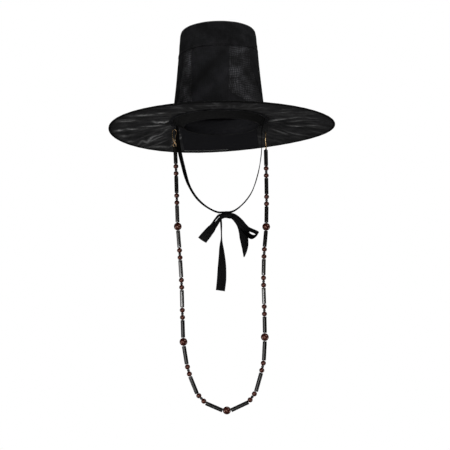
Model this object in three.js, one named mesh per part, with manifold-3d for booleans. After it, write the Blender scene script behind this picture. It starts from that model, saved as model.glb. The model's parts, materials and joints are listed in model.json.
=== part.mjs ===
// A black gauze hat: a tall crown on a wide thin brim, with a strand of beads and a chin ribbon.
// Millimetres, +Z up, the front towards -Y, the wearer's right side towards -X.
// The origin is the middle of the headband's lower edge, where the hat sits on the head.

import * as THREE from "three";
import { mergeVertices } from "three/addons/utils/BufferGeometryUtils.js";
import Module from "manifold-3d";

// Driving dimensions.
const clearance = 0.3; // between neighbouring pieces
const clothThickness = 1.2;

const crownFootX = -4.6; // the crown stands a little off the middle of the brim
const crownLean = 0.012; // sideways drift per millimetre of height
const crownFootHeight = 11;
const crownSeamHeight = 116; // where the wall ends and the cap begins
const crownRows = [
  // height, outer radius
  [crownFootHeight, 74.3],
  [43, 70.7],
  [90, 66.0],
  [crownSeamHeight, 63.7],
];
const seamTilt = 2.4; // the seam rises by this much to the right
const seamWave = 1.2; // and waves three times round by this much
const capRows = [
  // height, outer radius
  [crownSeamHeight, 63.7],
  [149, 60.7],
  [154.6, 59.0],
  [158.0, 53.4],
  [158.8, 43],
];
const capTopHeight = 159.2;
const crownSides = 54;

const brimRadius = 179.6; // to the outside of the binding
const brimRimHeight = -2.4;
const brimFootHeight = 11.4;
const brimSides = 90;
const brimRings = 4;
const rimTilt = 0.9; // slow waves of the rim: once, twice and three times round
const rimTwist = 2.5;
const rimCurl = -0.7;
const wrinkles = [
  // height of the folds, how many go round, where they start, how far they slant
  [0.55, 13, 1.1, 0],
  [0.44, 21, 0, 2.3],
];
const bindingWidth = 2.6;
const bindingHeight = 2.8;
const bindingChamfer = 0.5;

const headbandThickness = 1.6;
const headbandRadius = 61; // outside, at the lower edge
const headbandTopHeight = 17;
const headbandGap = 0.5; // to the crown's inner face
const headbandSides = 40;

const wireDiameter = 1.3;
const loopCordDiameter = 1.4;
const loopSlack = 0.9; // between the sewn loop and the wire it holds
const hookEyeRadius = 2.7; // to the middle of its wire
const collarRadius = 1.7;
const collarHeight = 3.4;
const collarSink = 0.4; // how far the collar reaches into the eye's wire
const hookBight = [
  // x, z from the eye's middle; the last point is the free end
  [-0.8, 5],
  [-2.4, 9],
  [-3.4, 16],
  [-3.3, 21],
  [-1.9, 24.2],
  [0, 25],
  [2.2, 24],
  [3.2, 20.5],
  [1.7, 15],
  [1.0, 10],
  [0.9, 7.4],
];
const hookBightTop = 25;
const hooks = [
  // side, x, height of the eye's middle, turn about the vertical, height of the sewn loop's top
  ["left", -75.2, -27.4, 0, 8.5],
  ["right", 69.4, -34.5, THREE.MathUtils.degToRad(80), 8.2],
];

const tubeLengths = { T: 26.6, M: 27.8, R: 29.1, u: 24.7, t: 25.2 }; // hand-cut, so they differ a little
const tubeBeadDiameter = 6.3;
const tubeChamfer = 0.5;
const largeBeadDiameter = 12.6;
const largeBeadLength = 12;
const smallBeadDiameter = 8;
const seedBeadDiameter = 4.4;
const seedBeadLength = 3.7;
const spacerLength = 18.75; // two small beads with a seed bead between them
const beadGap = 0.6;
// One letter a bead from the left hook to the right one:
// T, M, R, u or t is a tube, s a spacer group and L a large round bead.
const strandOrder = "TsTsTLTsTsTsTLMsMsMLRsRsRLusususuLtstst";
const strandGuide = [
  // x, z
  [-74.6, -31],
  [-73.8, -68],
  [-73.3, -112],
  [-72.6, -155],
  [-70.0, -200],
  [-67.8, -250],
  [-67.3, -300],
  [-66.4, -340],
  [-62.2, -372],
  [-56.0, -396],
  [-46.0, -420.6],
  [-33.0, -434.6],
  [-12.0, -444.8],
  [-2.3, -446.4],
  [7.0, -445.4],
  [28.8, -436.6],
  [42.3, -421.6],
  [50.5, -398],
  [57.5, -371],
  [59.8, -340],
  [60.3, -300],
  [60.2, -245],
  [62.2, -203],
  [66.4, -163],
  [68.2, -118],
  [68.8, -70],
  [69.0, -37.5],
];

const ribbonThickness = 1.2;
const knotDepth = 8;
const knotRows = [
  // x, y, z, width, lean of the width in the front view, its turn towards the depth (degrees)
  [-5.6, 0, -144.4, 6.0, 68, 0],
  [-3.8, 0, -143.9, 7.4, 72, 0],
  [2.8, 0, -142.4, 7.6, 91, 0],
  [10.2, 0, -143.0, 8.8, 98, 0],
  [12.4, 0, -143.6, 8.8, 90, 0],
];
const armLeft = [
  // x, y, z, width, lean, turn
  [-70.6, 10, 5.0, 15, 30, 78],
  [-70.9, 10, -6, 15, 0, 76],
  [-69.6, 9.5, -24, 15, 8, 74],
  [-66.0, 7.5, -43, 15, 12, 74],
  [-58.6, 4, -76, 15, 18, 75],
  [-52.2, 3, -94.8, 15, 24, 77],
  [-42.2, 1, -112.2, 15, 38, 80],
  [-29.8, 0, -124.9, 15, 46, 83],
  [-16.6, 0, -133.6, 14, 57, 84],
  [-7.2, 0, -137.3, 10, 75, 88],
  [0.9, 0, -137.6, 8, 85, 90],
];
const armRight = [
  // x, y, z, width, lean, turn
  [65.7, 9, 4.2, 15, -30, 82],
  [63.7, 9, -6, 15, 0, 87],
  [63.2, 8, -20, 15, 0, 87],
  [62.6, 6, -38, 15, 0, 87],
  [57.9, 4, -68, 15, 0, 87],
  [47.8, 2, -100.4, 15, 0, 88],
  [38.4, 1, -116.2, 15, 0, 89],
  [27.0, 0, -128.4, 14, 0, 90],
  [15.6, 0, -135.8, 11, 0, 90],
  [8.6, 0, -137.5, 9, 0, 90],
  [1.5, 0, -137.6, 8, 0, 90],
];
const loopLeft = [
  // x, y, z, width, lean, turn: out along the front layer, round the fold and back
  [-7.9, -2.4, -146.9, 5.0, -38, 0],
  [-10.2, -3.4, -152.2, 6.8, -32, 0],
  [-15.6, -3.4, -158.9, 9.0, -38, 0],
  [-19.8, -3.2, -163.8, 13, -41, 0],
  [-29.0, -2.2, -174.5, 15, -42, 0],
  [-33.6, -0.9, -179.7, 15, -36, 0],
  [-34.6, 0.4, -180.9, 15, -34, 0],
  [-33.6, 1.7, -179.7, 15, -36, 0],
  [-28.6, 2.8, -173.0, 14, -42, 0],
  [-20.8, 3.6, -161.0, 11, -44, 45],
  [-17.6, 3.8, -153.8, 9, -40, 74],
  [-13.4, 3.0, -146.8, 7, -45, 68],
  [-7.8, 2.0, -142.1, 5, -58, 40],
];
const loopRight = [
  // x, y, z, width, lean, turn: out along the upper layer, round the open fold and back
  [14.3, -1.6, -143.8, 9.0, 84, 0],
  [20.0, -3.0, -147.9, 9.8, 62, 4],
  [25.8, -3.6, -154.4, 11.6, 48, 12],
  [30.4, -4.0, -160.3, 13.4, 45, 28],
  [37.6, -4.0, -164.7, 15, 50, 55],
  [44.8, -3.0, -167.6, 15, 62, 70],
  [50.6, -1.6, -170.4, 15, 62, 78],
  [52.8, -0.4, -172.9, 15, 30, 86],
  [50.0, 0.8, -175.4, 15, 60, 80],
  [44.8, 2.2, -177.2, 15, 60, 70],
  [38.2, 3.4, -173.6, 15, 50, 55],
  [30.4, 3.8, -163.4, 13.4, 45, 25],
  [22.0, 2.8, -151.2, 9.4, 58, 8],
  [14.3, 1.6, -144.4, 7.6, 82, 0],
];
const tailMiddle = [
  // x, y, z, width, lean, turn
  [-4.3, 4.4, -147.0, 5, 0, 72],
  [-4.1, 6.0, -156, 9, 0, 86],
  [-4.1, 6.0, -168, 13, 0, 89],
  [-3.8, 4.0, -180, 15, 0, 84],
  [-3.8, 2.0, -193, 15, 0, 64],
  [-3.8, 1.0, -208, 15, 2, 48],
  [-4.2, 0.5, -226, 15, 3, 27],
  [-5.2, 0.5, -243, 15, 4, 12],
  [-7.5, 0.5, -260.9, 15, 4, 20],
];
const tailRight = [
  // x, y, z, width, lean, turn: its end is cut on a slant
  [14.0, 3.8, -145.0, 6, 82, 0],
  [23.4, 8.2, -154.4, 8.8, 48, 8],
  [28.6, 10.0, -164.6, 12.0, 27, 6],
  [31.2, 10.0, -177.0, 13.8, 12, 4],
  [32.4, 9.4, -189.0, 11.4, 10, 2],
  [31.9, 8.8, -199.4, 6.8, 8, 0],
  [30.6, 8.4, -208.0, 1.2, 6, 0],
];
const stepsPerRow = 2;
const ribbons = {
  ribbon_arm_left: armLeft,
  ribbon_arm_right: armRight,
  bow_loop_left: loopLeft,
  bow_loop_right: loopRight,
  ribbon_tail_middle: tailMiddle,
  ribbon_tail_right: tailRight,
};

// A closed surface from rows of points, each row running round the body.
// Rows that close on themselves make a ring; otherwise the first and last rows are
// single points or flat ends.
function gridGeometry(rows, rowsClose) {
  const count = rows[0].length;
  const positions = rows.flat().flatMap((point) => [point.x, point.y, point.z]);
  const index = [];
  const bands = rowsClose ? rows.length : rows.length - 1;
  for (let row = 0; row < bands; row++) {
    const next = (row + 1) % rows.length;
    for (let side = 0; side < count; side++) {
      const after = (side + 1) % count;
      const [a, b] = [row * count + side, row * count + after];
      const [c, d] = [next * count + side, next * count + after];
      index.push(a, b, d, a, d, c);
    }
  }
  const geometry = new THREE.BufferGeometry();
  geometry.setAttribute("position", new THREE.Float32BufferAttribute(positions, 3));
  geometry.setIndex(index);
  return withoutEmptyFaces(mergeVertices(geometry, 1e-4));
}

// Faces whose corners have merged, as at a pole, are dropped.
function withoutEmptyFaces(geometry) {
  const old = geometry.index.array;
  const kept = [];
  for (let i = 0; i < old.length; i += 3) {
    const [a, b, c] = [old[i], old[i + 1], old[i + 2]];
    if (a !== b && b !== c && a !== c) kept.push(a, b, c);
  }
  geometry.setIndex(kept);
  geometry.computeVertexNormals();
  return geometry;
}

// One row of points round the vertical axis; place(angle) gives each point.
function ringRow(sides, place) {
  return Array.from({ length: sides }, (_, side) => place((side / sides) * 2 * Math.PI));
}

function addMesh(group, name, geometry, material) {
  const mesh = new THREE.Mesh(geometry, material.clone());
  mesh.name = name;
  group.add(mesh);
  return mesh;
}

const gauze = new THREE.MeshStandardMaterial({ color: 0x17171a, roughness: 0.55 });
const bindingCloth = new THREE.MeshStandardMaterial({ color: 0x0b0b0c, roughness: 0.7 });
const bandCloth = new THREE.MeshStandardMaterial({ color: 0x101012, roughness: 0.85 });
const brass = new THREE.MeshStandardMaterial({ color: 0xc59a55, roughness: 0.3, metalness: 1 });
const blackGloss = new THREE.MeshStandardMaterial({ color: 0x0e0c0c, roughness: 0.25 });
const redWood = new THREE.MeshStandardMaterial({ color: 0x4a1a12, roughness: 0.3 });
const ribbonCloth = new THREE.MeshStandardMaterial({ color: 0x161616, roughness: 0.5 });

const hat = new THREE.Group();

// The crown: a tapered wall, and a cap that meets it along a wavy seam.
const crownX = (height) => crownFootX + crownLean * (height - crownFootHeight);
const seamOffset = (angle) => seamTilt * Math.cos(angle) + seamWave * Math.cos(3 * angle);

function crownPoint(radius, height, angle) {
  const x = crownX(height) + radius * Math.cos(angle);
  return new THREE.Vector3(x, radius * Math.sin(angle), height);
}

// Heights are stretched so that the row at the seam follows it and the far row stays level.
function towardsSeam(height, levelHeight, angle) {
  const share = (height - levelHeight) / (crownSeamHeight - levelHeight);
  return height + Math.min(1, share) * seamOffset(angle);
}

function crownWallRows() {
  const inside = crownRows.map(([height, radius]) => [height, radius - clothThickness]).reverse();
  return [...crownRows, ...inside].map(([height, radius]) =>
    ringRow(crownSides, (angle) =>
      crownPoint(radius, towardsSeam(height, crownFootHeight, angle), angle),
    ),
  );
}

function capWallRows() {
  const blendHeight = capRows[1][0];
  const lift = (height, angle) =>
    height < blendHeight ? height + clearance + seamOffset(angle) : height;
  const inside = capRows.map(([height, radius], row) =>
    row < 2 ? [height, radius - clothThickness] : [height - clothThickness, radius - clothThickness],
  );
  const top = [[capTopHeight, 0]];
  const underTop = [[capTopHeight - clothThickness, 0]];
  return [...underTop, ...inside.reverse(), ...capRows, ...top].map(([height, radius]) =>
    ringRow(crownSides, (angle) => crownPoint(radius, lift(height, angle), angle)),
  );
}

addMesh(hat, "crown_wall", gridGeometry(crownWallRows(), true), gauze);
addMesh(hat, "crown_cap", gridGeometry(capWallRows(), false), gauze);

// The brim falls from the crown's foot to a rim that waves slowly, with wrinkles that fan out between.
const brimHoleRadius = crownRows[0][1] + clearance;
const brimEdgeRadius = brimRadius - bindingWidth - clearance;

function rimWave(angle) {
  return (
    rimTilt * Math.cos(angle) + rimTwist * Math.sin(2 * angle) + rimCurl * Math.cos(3 * angle)
  );
}

// The wrinkles fade out at the crown's foot and at the binding.
function wrinkle(angle, share) {
  const folds = wrinkles.map(
    ([height, count, start, slant]) => height * Math.cos(count * angle + start + slant * share),
  );
  return Math.sin(Math.PI * share) * folds.reduce((sum, fold) => sum + fold);
}

// share runs from 0 at the crown's foot to 1 at the brim's cut edge.
function brimPoint(share, above, angle) {
  const radius = THREE.MathUtils.lerp(brimHoleRadius, brimEdgeRadius, share);
  const fall = THREE.MathUtils.lerp(brimFootHeight, brimRimHeight, share);
  const height = fall + rimWave(angle) * share + wrinkle(angle, share) + above;
  const x = crownFootX * (1 - share) + radius * Math.cos(angle);
  return new THREE.Vector3(x, radius * Math.sin(angle), height);
}

function brimRowsOn(side) {
  return Array.from({ length: brimRings + 1 }, (_, ring) =>
    ringRow(brimSides, (angle) =>
      brimPoint(ring / brimRings, (side * clothThickness) / 2, angle),
    ),
  );
}

addMesh(
  hat,
  "brim",
  gridGeometry([...brimRowsOn(-1), ...brimRowsOn(1).reverse()], true),
  gauze,
);

function bindingRow(radius, above) {
  return ringRow(brimSides, (angle) => {
    const height = brimRimHeight + rimWave(angle) + above;
    return new THREE.Vector3(radius * Math.cos(angle), radius * Math.sin(angle), height);
  });
}

const bindingInner = brimRadius - bindingWidth;
const bindingSection = [
  // radius, height from the rim's middle
  [bindingInner, -bindingHeight / 2],
  [brimRadius, -bindingHeight / 2 + bindingChamfer],
  [brimRadius, bindingHeight / 2 - bindingChamfer],
  [bindingInner, bindingHeight / 2],
];
addMesh(
  hat,
  "brim_binding",
  gridGeometry(bindingSection.map(([radius, above]) => bindingRow(radius, above)), true),
  bindingCloth,
);

// The headband stands inside the crown's foot and narrows below it.
const crownSlope = (crownRows[0][1] - crownRows[1][1]) / (crownRows[1][0] - crownRows[0][0]);
const flareRadius = crownRows[0][1] - clothThickness - headbandGap;
const topRadius = flareRadius - crownSlope * (headbandTopHeight - crownFootHeight);
const headbandSection = [
  // height, outer radius
  [0, headbandRadius],
  [crownFootHeight, flareRadius],
  [headbandTopHeight, topRadius],
];

function headbandRow(height, radius) {
  const middle = crownFootX * Math.min(1, height / crownFootHeight);
  return ringRow(
    headbandSides,
    (angle) =>
      new THREE.Vector3(middle + radius * Math.cos(angle), radius * Math.sin(angle), height),
  );
}

const headbandInside = headbandSection
  .map(([height, radius]) => [height, radius - headbandThickness])
  .reverse();
addMesh(
  hat,
  "headband",
  gridGeometry(
    [...headbandSection, ...headbandInside].map(([height, radius]) => headbandRow(height, radius)),
    true,
  ),
  bandCloth,
);

// Wire and cord: a round section drawn along a smooth path.
function roundSection(diameter, sides) {
  const corners = Array.from({ length: sides }, (_, side) => {
    const angle = (side / sides) * 2 * Math.PI;
    return new THREE.Vector2(Math.cos(angle), Math.sin(angle)).multiplyScalar(diameter / 2);
  });
  return new THREE.Shape(corners);
}

function wireGeometry(points, diameter, steps) {
  const extrudePath = new THREE.CatmullRomCurve3(points, false, "centripetal");
  return new THREE.ExtrudeGeometry(roundSection(diameter, 6), { steps, extrudePath });
}

// Manifold joins the pieces of a hook into one solid.
const wasm = await Module();
wasm.setup();

function toSolid(geometry) {
  geometry.deleteAttribute("normal");
  geometry.deleteAttribute("uv");
  const merged = mergeVertices(geometry, 1e-4);
  return new wasm.Manifold(
    new wasm.Mesh({
      numProp: 3,
      vertProperties: merged.attributes.position.array,
      triVerts: new Uint32Array(merged.index.array),
    }),
  );
}

function fromSolid(solid) {
  const { vertProperties, triVerts } = solid.getMesh();
  const geometry = new THREE.BufferGeometry();
  geometry.setAttribute("position", new THREE.BufferAttribute(vertProperties, 3));
  geometry.setIndex(new THREE.BufferAttribute(triVerts, 1));
  geometry.computeVertexNormals();
  return geometry;
}

// The hook: a long wire bight whose free end stops short of the collar, and an eye below for the strand.
function hookGeometry() {
  const bight = hookBight.map(([x, z]) => new THREE.Vector3(x, 0, z));
  const eye = new THREE.TorusGeometry(hookEyeRadius, wireDiameter / 2, 6, 14);
  eye.rotateX(Math.PI / 2);
  const collar = new THREE.CylinderGeometry(collarRadius, collarRadius, collarHeight, 9);
  collar.rotateX(Math.PI / 2).translate(0, 0, hookEyeRadius - collarSink + collarHeight / 2);
  return fromSolid(
    toSolid(wireGeometry(bight, wireDiameter, 16)).add(toSolid(eye)).add(toSolid(collar)),
  );
}

// The sewn loop hangs in a U across the hook's bight and holds it.
function sewnLoopGeometry(top) {
  const half = wireDiameter / 2 + loopCordDiameter / 2 + loopSlack;
  const bottom = hookBightTop - half;
  const points = [
    new THREE.Vector3(0, -half, top),
    new THREE.Vector3(0, -half, bottom + half),
    new THREE.Vector3(0, 0, bottom),
    new THREE.Vector3(0, half, bottom + half),
    new THREE.Vector3(0, half, top),
  ];
  return wireGeometry(points, loopCordDiameter, 12);
}

for (const [side, x, eyeHeight, turn, loopTop] of hooks) {
  const hanging = new THREE.Group();
  hanging.position.set(x, 0, eyeHeight);
  hanging.rotation.z = turn;
  addMesh(hanging, "hook_" + side, hookGeometry(), brass);
  addMesh(hanging, "sewn_loop_" + side, sewnLoopGeometry(loopTop - eyeHeight), bindingCloth);
  hat.add(hanging);
}

// Beads are turned shapes that stand along Y; each profile starts and ends on the axis.
function turned(profile, sides) {
  const points = profile.map(([along, radius]) => new THREE.Vector2(radius, along));
  return new THREE.LatheGeometry(points, sides);
}

// A round bead from start to end, as rows of its profile without the points on the axis.
function roundProfile(start, end, radius, rows) {
  return Array.from({ length: rows }, (_, row) => {
    const angle = ((row + 0.5) / rows) * Math.PI;
    const along = THREE.MathUtils.lerp(start, end, (1 - Math.cos(angle)) / 2);
    return [along, radius * Math.sin(angle)];
  });
}

function tubeBead(length) {
  const [half, radius, chamfer] = [length / 2, tubeBeadDiameter / 2, tubeChamfer];
  const profile = [
    [-half, 0],
    [-half, radius - chamfer],
    [-half + chamfer, radius],
    [half - chamfer, radius],
    [half, radius - chamfer],
    [half, 0],
  ];
  return turned(profile, 10);
}

function largeBead() {
  const half = largeBeadLength / 2;
  const round = roundProfile(-half, half, largeBeadDiameter / 2, 6);
  return turned([[-half, 0], ...round, [half, 0]], 14);
}

// Two small round beads with a seed bead between them, as one turned body.
function spacerBeads() {
  const [half, seedHalf] = [spacerLength / 2, seedBeadLength / 2];
  const seedRadius = seedBeadDiameter / 2;
  const small = (start, end) => roundProfile(start, end, smallBeadDiameter / 2, 3);
  const profile = [
    [-half, 0],
    ...small(-half, -seedHalf),
    [-seedHalf, seedRadius],
    [seedHalf, seedRadius],
    ...small(seedHalf, half),
    [half, 0],
  ];
  return turned(profile, 10);
}

function beadKind(name, digits, length, shape, material) {
  return { name, digits, length, shape, material };
}

const tubeKind = (length) => beadKind("tube_bead_", 2, length, tubeBead(length), blackGloss);
const beadKinds = {
  T: tubeKind(tubeLengths.T),
  M: tubeKind(tubeLengths.M),
  R: tubeKind(tubeLengths.R),
  u: tubeKind(tubeLengths.u),
  t: tubeKind(tubeLengths.t),
  s: beadKind("spacer_beads_", 2, spacerLength, spacerBeads(), redWood),
  L: beadKind("large_bead_", 1, largeBeadLength, largeBead(), redWood),
};

// The strand hangs as straight beads end to end, each a chord of the guide curve.
const strandCurve = new THREE.CatmullRomCurve3(
  strandGuide.map(([x, z]) => new THREE.Vector3(x, 0, z)),
  false,
  "centripetal",
);
const strandPoints = strandCurve.getSpacedPoints(4000);
const counts = {};
let reached = 0;

function pointAtChord(from, chord) {
  while (reached < strandPoints.length - 1 && strandPoints[reached].distanceTo(from) < chord) {
    reached++;
  }
  return strandPoints[reached];
}

let start = strandPoints[0];
for (const letter of strandOrder) {
  const kind = beadKinds[letter];
  const end = pointAtChord(start, kind.length);
  const along = end.clone().sub(start).normalize();
  counts[kind.name] = (counts[kind.name] ?? 0) + 1;
  const number = String(counts[kind.name]).padStart(kind.digits, "0");
  const bead = addMesh(hat, kind.name + number, kind.shape, kind.material);
  bead.position.copy(start).addScaledVector(along, kind.length / 2);
  bead.quaternion.setFromUnitVectors(new THREE.Vector3(0, 1, 0), along);
  start = pointAtChord(end, beadGap);
}

// A ribbon is a flat strip along a smooth path; each row says which way its width lies.
function ribbonFrames(table) {
  const centres = table.map(([x, y, z]) => new THREE.Vector3(x, y, z));
  const widths = table.map(([, , , width]) => width);
  const acrossAll = table.map(([, , , , lean, depth]) => {
    const [a, d] = [lean, depth].map(THREE.MathUtils.degToRad);
    return new THREE.Vector3(Math.cos(d) * Math.cos(a), Math.sin(d), Math.cos(d) * Math.sin(a));
  });
  const path = new THREE.CatmullRomCurve3(centres, false, "centripetal");
  const last = table.length - 1;
  return Array.from({ length: last * stepsPerRow + 1 }, (_, step) => {
    const row = Math.min(last - 1, Math.floor(step / stepsPerRow));
    const share = step / stepsPerRow - row;
    const along = path.getTangent((row + share) / last);
    const across = acrossAll[row].clone().lerp(acrossAll[row + 1], share);
    across.addScaledVector(along, -across.dot(along)).normalize();
    return {
      centre: path.getPoint((row + share) / last),
      width: THREE.MathUtils.lerp(widths[row], widths[row + 1], share),
      across,
      facing: along.clone().cross(across),
    };
  });
}

function stripGeometry(frames, section) {
  const rows = frames.map((frame) =>
    section(frame).map(([across, facing]) =>
      frame.centre
        .clone()
        .addScaledVector(frame.across, across)
        .addScaledVector(frame.facing, facing),
    ),
  );
  const cap = (row, frame) => row.map(() => frame.centre.clone());
  return gridGeometry([cap(rows[0], frames[0]), ...rows, cap(rows.at(-1), frames.at(-1))], false);
}

function flatSection({ width }) {
  const [w, t] = [width / 2, ribbonThickness / 2];
  return [
    [w, t],
    [-w, t],
    [-w, -t],
    [w, -t],
  ];
}

function knotSection({ width }) {
  return Array.from({ length: 8 }, (_, side) => {
    const angle = ((side + 0.5) / 8) * 2 * Math.PI;
    return [(width / 2) * Math.cos(angle), (knotDepth / 2) * Math.sin(angle)];
  });
}

for (const [name, table] of Object.entries(ribbons)) {
  addMesh(hat, name, stripGeometry(ribbonFrames(table), flatSection), ribbonCloth);
}
addMesh(hat, "ribbon_knot", stripGeometry(ribbonFrames(knotRows), knotSection), ribbonCloth);

export default hat;
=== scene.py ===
# A black gauze hat with a bead strand and a chin ribbon, dressed round its solid parts.
# Metres, +Z up, the front towards -Y. Tables are in millimetres, as in the part's source.

import json
import math

import bpy
import numpy as np
from mathutils import Matrix, Vector

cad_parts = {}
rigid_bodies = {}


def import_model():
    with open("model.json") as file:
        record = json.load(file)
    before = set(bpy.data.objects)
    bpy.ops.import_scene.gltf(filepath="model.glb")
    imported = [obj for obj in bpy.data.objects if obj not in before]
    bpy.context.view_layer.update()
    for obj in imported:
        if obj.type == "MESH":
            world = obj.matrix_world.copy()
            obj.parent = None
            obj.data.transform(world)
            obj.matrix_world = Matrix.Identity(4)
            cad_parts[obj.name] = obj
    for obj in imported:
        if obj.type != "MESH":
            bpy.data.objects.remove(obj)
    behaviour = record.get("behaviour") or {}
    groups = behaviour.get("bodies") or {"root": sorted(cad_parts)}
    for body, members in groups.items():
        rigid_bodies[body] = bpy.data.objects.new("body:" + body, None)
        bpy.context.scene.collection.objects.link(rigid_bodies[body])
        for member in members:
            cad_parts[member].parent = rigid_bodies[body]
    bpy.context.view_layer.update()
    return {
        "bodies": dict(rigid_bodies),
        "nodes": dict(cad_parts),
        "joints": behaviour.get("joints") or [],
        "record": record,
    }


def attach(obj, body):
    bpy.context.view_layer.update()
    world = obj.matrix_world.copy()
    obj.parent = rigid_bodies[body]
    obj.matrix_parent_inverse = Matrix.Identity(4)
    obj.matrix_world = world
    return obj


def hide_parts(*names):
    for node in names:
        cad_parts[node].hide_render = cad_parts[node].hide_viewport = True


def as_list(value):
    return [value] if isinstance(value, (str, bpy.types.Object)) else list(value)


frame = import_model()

MM = 0.001

# The camera looks up at the hat from the front, as the photograph does.
CAMERA_DISTANCE = 2.0
CAMERA_RISE = math.radians(8.262)
CAMERA_ROLL = math.radians(1.2)
PHOTO_SIZE = 450
PIXEL = 1.59 * MM  # at the origin's distance
ORIGIN_PIXEL = (221.8, 127.0)
SENSOR = 36


def add_camera():
    forward = Vector((0, math.cos(CAMERA_RISE), math.sin(CAMERA_RISE)))
    level = Vector((1, 0, 0))
    upright = Vector((0, -math.sin(CAMERA_RISE), math.cos(CAMERA_RISE)))
    right = math.cos(CAMERA_ROLL) * level - math.sin(CAMERA_ROLL) * upright
    up = math.sin(CAMERA_ROLL) * level + math.cos(CAMERA_ROLL) * upright
    across = (ORIGIN_PIXEL[0] - PHOTO_SIZE / 2) * PIXEL
    above = (PHOTO_SIZE / 2 - ORIGIN_PIXEL[1]) * PIXEL
    place = -(forward * CAMERA_DISTANCE + right * across + up * above)
    data = bpy.data.cameras.new("camera")
    data.sensor_width = SENSOR
    data.lens = SENSOR * CAMERA_DISTANCE / (PIXEL * PHOTO_SIZE)
    camera = bpy.data.objects.new("camera", data)
    turn = Matrix((right, up, -forward)).transposed()
    camera.matrix_world = Matrix.Translation(place) @ turn.to_4x4()
    bpy.context.collection.objects.link(camera)
    bpy.context.scene.camera = camera


add_camera()


# Materials.
class Nodes:
    """A node tree, with short calls for the nodes that the materials and the room share."""

    def __init__(self, owner, shader="Principled BSDF"):
        self.owner = owner
        owner.use_nodes = True
        self.tree = owner.node_tree
        self.shader = self.tree.nodes[shader]

    def put(self, socket, value):
        if isinstance(value, bpy.types.NodeSocket):
            self.tree.links.new(value, socket)
        else:
            socket.default_value = value

    def fill(self, node, **values):
        for key, value in values.items():
            self.put(node.inputs[key.replace("_", " ")], value)
        return node

    def set(self, **values):
        self.fill(self.shader, **values)

    def add(self, kind, *inputs, **settings):
        node = self.tree.nodes.new("ShaderNode" + kind)
        for key, value in settings.items():
            setattr(node, key, value)
        for socket, value in zip(node.inputs, inputs):
            self.put(socket, value)
        return node

    def math(self, operation, *inputs):
        return self.add("Math", *inputs, operation=operation).outputs[0]

    def times(self, first, *others):
        for other in others:
            first = self.math("MULTIPLY", first, other)
        return first

    def uv(self):
        """The metres along the piece's own U and V."""
        parts = self.add("SeparateXYZ", self.add("UVMap", uv_map="cloth").outputs[0])
        return parts.outputs[0], parts.outputs[1]

    def flat(self, u, v):
        return self.add("CombineXYZ", u, v, 0.0).outputs[0]

    def here(self):
        return self.add("TexCoord").outputs["Object"]

    def attribute(self, name):
        return self.add("Attribute", attribute_name=name).outputs["Fac"]

    def noise(self, place, scale, detail=3.0, roughness=0.55):
        node = self.add("TexNoise")
        return self.fill(node, Vector=place, Scale=scale, Detail=detail, Roughness=roughness).outputs[0]

    def stretched(self, place, scale):
        return self.add("Mapping", place, (0, 0, 0), (0, 0, 0), scale).outputs[0]

    def span(self, value, low, high, to_low, to_high):
        """A value's place between low and high, as a value between to_low and to_high."""
        return self.add("MapRange", value, low, high, to_low, to_high).outputs[0]

    def mix(self, share, first, second):
        """Between two colours."""
        node = self.add("Mix", data_type="RGBA")
        for place, value in ((0, share), (6, first), (7, second)):
            self.put(node.inputs[place], value)
        return node.outputs[2]

    def bump(self, height, distance, strength):
        node = self.add("Bump")
        return self.fill(node, Strength=strength, Distance=distance, Height=height).outputs[0]

    def ridges(self, along, pitch):
        """Round threads side by side, from 0 between two threads to 1 on top of one."""
        return self.math("ABSOLUTE", self.math("SINE", self.times(along, math.pi / pitch)))

    def with_painted_light(self, shade):
        """A shade, lighter where the mesh's painted light attribute is above zero and darker where it is
        below: painted highlight and painted shade.
        """
        return self.times(shade, self.math("ADD", self.attribute("painted_light"), 1.0))


def new_nodes(name):
    return Nodes(bpy.data.materials.new(name))


def grey(value, warm=0.0):
    """A grey; above zero it is warm, below zero blue."""
    return (value * (1 + max(warm, 0)), value, value * (1 - warm), 1.0)


PITCH = 1.25 * MM  # from thread to thread of the gauze
BEAT, BEAT_DRIFT = 3.4 * MM, 9 * MM  # between the dots where two layers of gauze beat, and how far they stray


def gauze_nodes(name, thread, hole, roughness, gloss, cloudy=0.8, dots=0.2, pitch=PITCH):
    """Sheer mesh of fine threads, in cloudy patches; a layer behind it beats with it in small dots."""
    n = new_nodes(name)
    u, v = n.uv()
    here = n.here()
    mesh = n.math("POWER", n.math("MAXIMUM", n.ridges(u, pitch), n.ridges(v, pitch)), 4.0)
    drift = n.times(n.noise(here, 55, 2.0), BEAT_DRIFT)
    beats = n.times(*[n.ridges(n.math("ADD", along, drift), BEAT) for along in (u, v)])
    cloud = n.span(n.noise(here, 75, 5.0, 0.7), 0.38, 0.66, 1 - cloudy, 1.0)
    patch = n.span(n.noise(here, 19, 2.0), 0.38, 0.62, 1 - 0.7 * cloudy, 1.0)
    haze = n.times(cloud, patch, n.span(beats, 0, 0.8, 1 - dots, 1.0))
    # The mesh's painted light attribute lays painted highlights and painted shade on the gauze.
    shade = n.with_painted_light(n.times(n.span(mesh, 0, 1, 0.45, 1.0), haze))
    n.set(
        Base_Color=n.mix(shade, hole, thread),
        Roughness=n.span(haze, 0, 1, roughness + 0.35, roughness),
        Specular_IOR_Level=gloss,
        Normal=n.bump(mesh, 0.1 * MM, 0.5),
    )
    return n


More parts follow.
